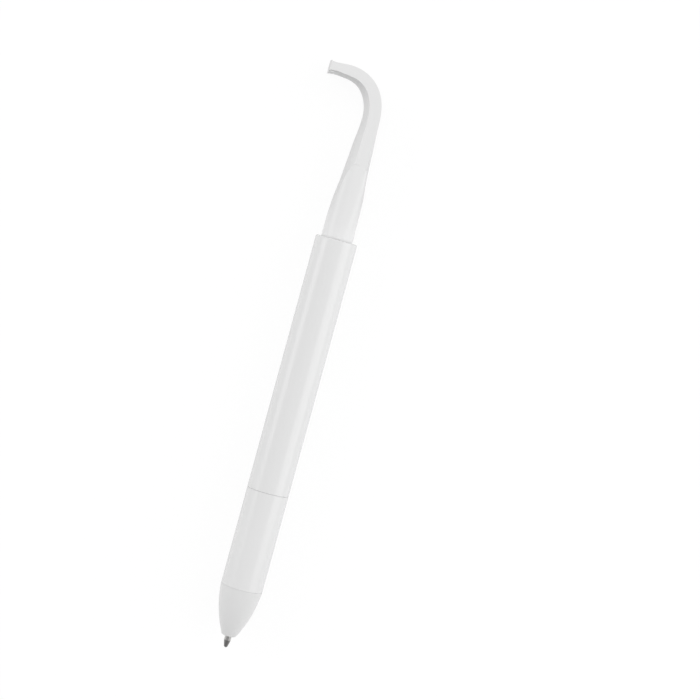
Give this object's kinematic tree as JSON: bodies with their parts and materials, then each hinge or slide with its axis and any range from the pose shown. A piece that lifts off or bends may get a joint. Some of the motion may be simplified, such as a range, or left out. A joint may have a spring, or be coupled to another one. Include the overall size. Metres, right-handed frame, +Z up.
{
  "type": "telescopic pen",
  "caption": "Slim white ballpoint pen with a twist-out tip; its upper end pulls out on telescopic tubes and carries a bent, toothed back-scratcher head.",
  "frame": {"origin": "middle of the closed pen's bounding box, on the table that it lies on", "axes": "+X along the pen from the writing tip to the scratcher, +Y the way the hook points, +Z up"},
  "size_m": [0.1952, 0.0246, 0.0158],
  "materials": {
    "gloss_white": "gloss, moulded white",
    "satin_white": "satin, fine grain, white",
    "head_white": "satin, moulded white",
    "tube_white": "half gloss, drawn white",
    "nickel": "bright turned nickel silver",
    "hard_ball": "polished",
    "bush_grey": "plain, low friction",
    "core_grey": "plain, low friction",
    "spring_steel": "bright",
    "black_rubber": "matt",
    "clear_tube": "half clear, smooth",
    "blue_ink": "wet",
    "amber_grease": "wet"
  },
  "bodies": {
    "barrel": {"upper_barrel": "gloss_white", "mouth_bush": "bush_grey", "twist_core": "core_grey", "snap_ring": "spring_steel", "friction_o_ring": "black_rubber"},
    "grip": {"lower_barrel": "gloss_white", "key_sleeve": "core_grey", "nose_cone": "satin_white"},
    "refill": {"refill_carrier": "core_grey", "carrier_pin": "spring_steel", "refill_tube": "clear_tube", "refill_ink": "blue_ink", "refill_follower": "amber_grease", "refill_tip": "nickel", "refill_ball": "hard_ball"},
    "middle_stage": {"middle_tube": "tube_white", "middle_bush": "bush_grey", "middle_mouth_bush": "bush_grey"},
    "inner_stage": {"inner_bush": "bush_grey"},
    "scratcher": {"inner_tube": "tube_white", "inner_tube_plug": "bush_grey", "scratcher_head": "head_white"}
  },
  "joints": [
    {"name": "twist", "type": "hinge", "parent": "barrel", "child": "grip", "pos_m": [-0.0439, -0.0054, 0.007], "axis": [1, 0, 0], "range_deg": [0, 120]},
    {"name": "refill_slide", "type": "slide", "parent": "grip", "child": "refill", "axis": [1, 0, 0], "range_m": [0, 0.005]},
    {"name": "middle_slide", "type": "slide", "parent": "barrel", "child": "middle_stage", "axis": [1, 0, 0], "range_m": [0, 0.0551]},
    {"name": "inner_slide", "type": "slide", "parent": "middle_stage", "child": "inner_stage", "axis": [1, 0, 0], "range_m": [0, 0.0689]},
    {"name": "head_swivel", "type": "hinge", "parent": "inner_stage", "child": "scratcher", "pos_m": [0.0419, -0.0054, 0.007], "axis": [1, 0, 0], "continuous": true}
  ],
  "couplings": [
    {"joint": "refill_slide", "follows": "twist", "m_per_rad": 0.002387}
  ]
}
